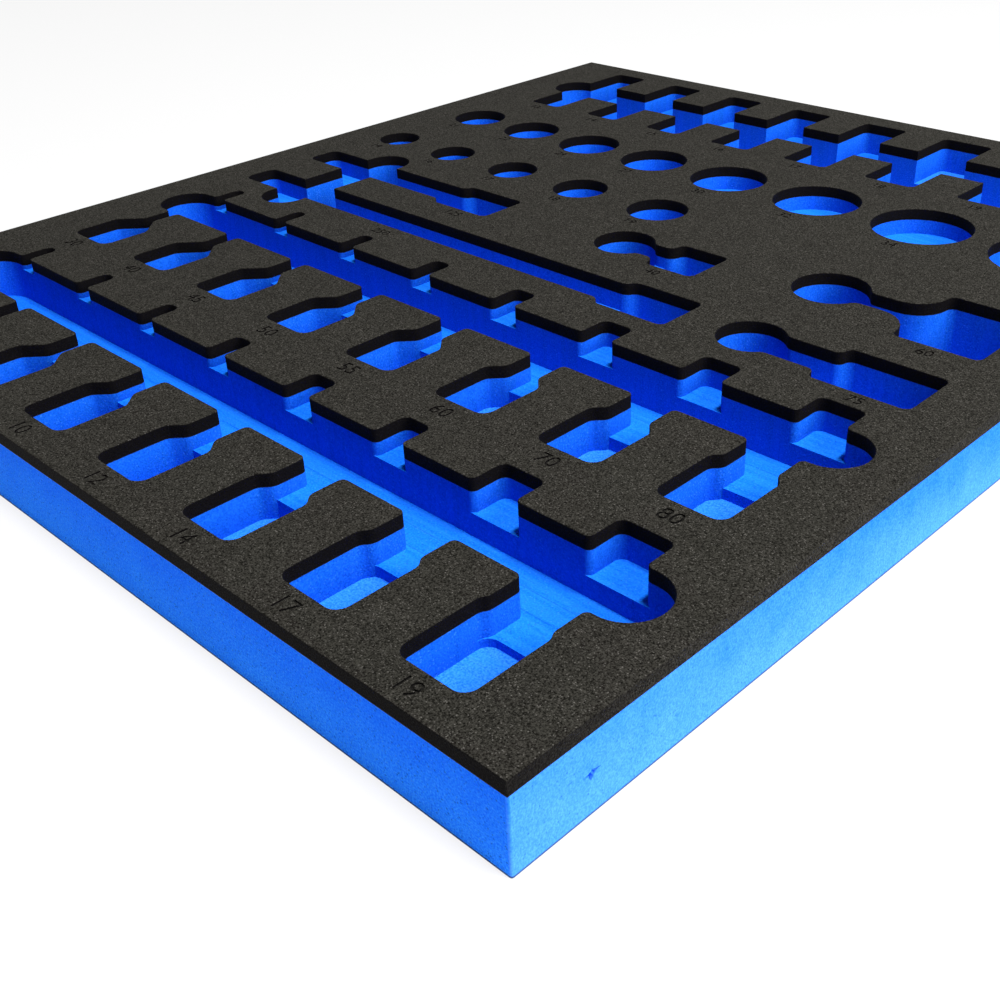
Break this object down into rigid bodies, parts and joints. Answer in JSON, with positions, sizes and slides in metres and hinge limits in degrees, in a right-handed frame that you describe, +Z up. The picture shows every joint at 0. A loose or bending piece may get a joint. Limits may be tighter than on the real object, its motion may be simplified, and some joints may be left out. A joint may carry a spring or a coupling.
{
  "type": "foam tool drawer insert",
  "caption": "Two-tone foam drawer insert: a dark cover sheet on a blue base slab, routed with stepped pockets and finger troughs that hold bits, extension bars and sockets.",
  "frame": {"origin": "middle of the underside, on the surface that the tray rests on", "axes": "+Z up; +Y from the front edge, where the bits lie, to the back; +X to the right, where the largest bits lie"},
  "size_m": [0.475, 0.56, 0.0352],
  "materials": {
    "base_foam": "closed-cell foam, matt, fine cut cells",
    "bond": "thin adhesive film, matt",
    "cover_foam": "closed-cell foam, matt, fine sparkling skin"
  },
  "bodies": {
    "root": {"base_slab": "base_foam", "bond_film": "bond", "cover_sheet": "cover_foam"}
  },
  "joints": []
}
